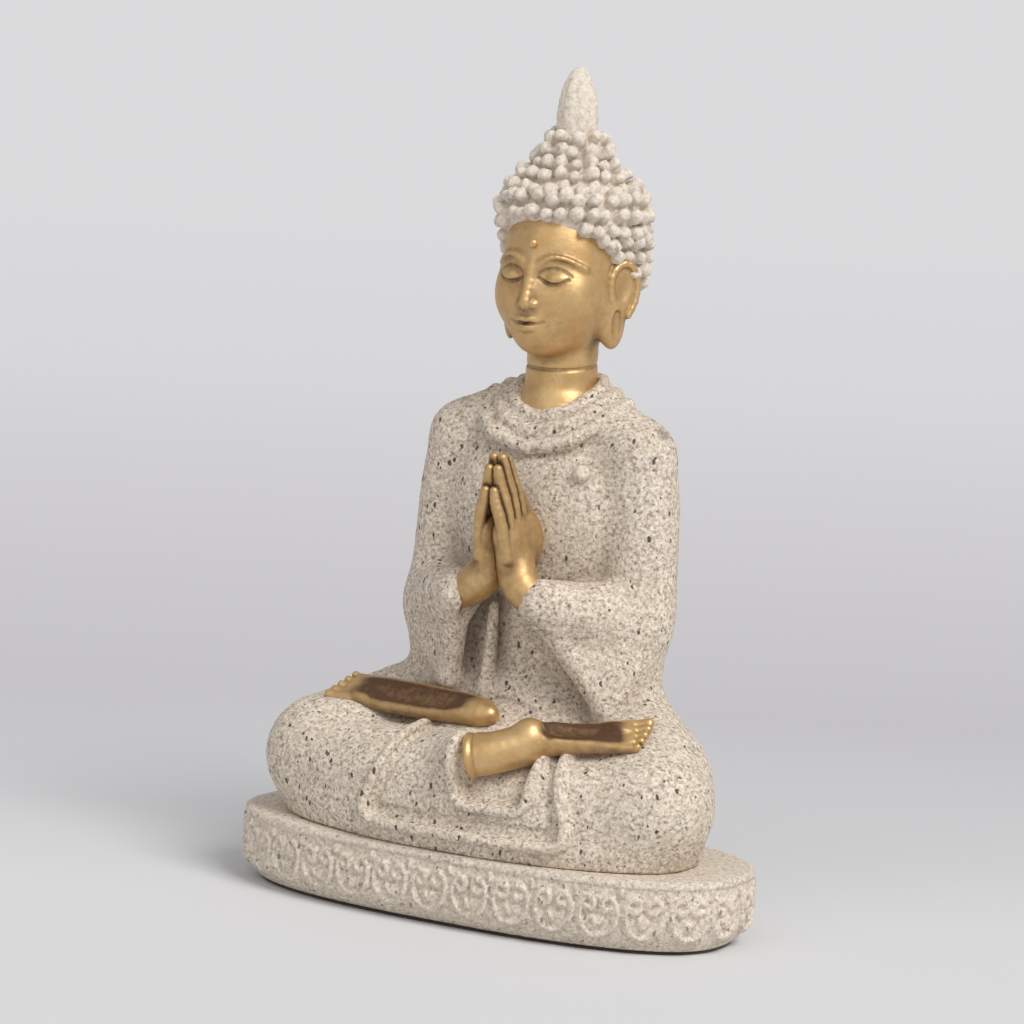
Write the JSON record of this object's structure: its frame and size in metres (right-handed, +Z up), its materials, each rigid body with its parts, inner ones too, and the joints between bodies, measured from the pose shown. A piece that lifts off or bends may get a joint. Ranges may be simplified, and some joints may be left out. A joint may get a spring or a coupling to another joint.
{
  "type": "seated buddha statuette",
  "caption": "Small seated praying buddha statuette of speckled stone resin with gilded head, hands and feet, on an oval plinth with scroll relief and a felt base.",
  "frame": {"origin": "centre of the felt base's underside, which is the centre of the oval plinth", "axes": "+Z up; the figure faces -Y; +X is the figure's left side and the plinth's long axis"},
  "size_m": [0.1358, 0.0722, 0.2016],
  "materials": {
    "stone": "matte, speckled grain",
    "pale_stone": "matte, speckled grain, paler",
    "gilding": "satin antique gold paint with brown patina",
    "felt": "matte brown felt"
  },
  "bodies": {
    "root": {"felt_pad": "felt", "plinth": "stone", "crossed_legs": "stone", "robe_apron": "stone", "torso": "stone", "left_sleeve": "stone", "right_sleeve": "stone", "robe_collar": "stone", "breast_stud": "stone", "left_hand": "gilding", "right_hand": "gilding", "left_foot": "gilding", "right_foot": "gilding", "head": "gilding", "urna_bead": "gilding", "hair_cap": "pale_stone", "crown_finial": "pale_stone"}
  },
  "joints": []
}
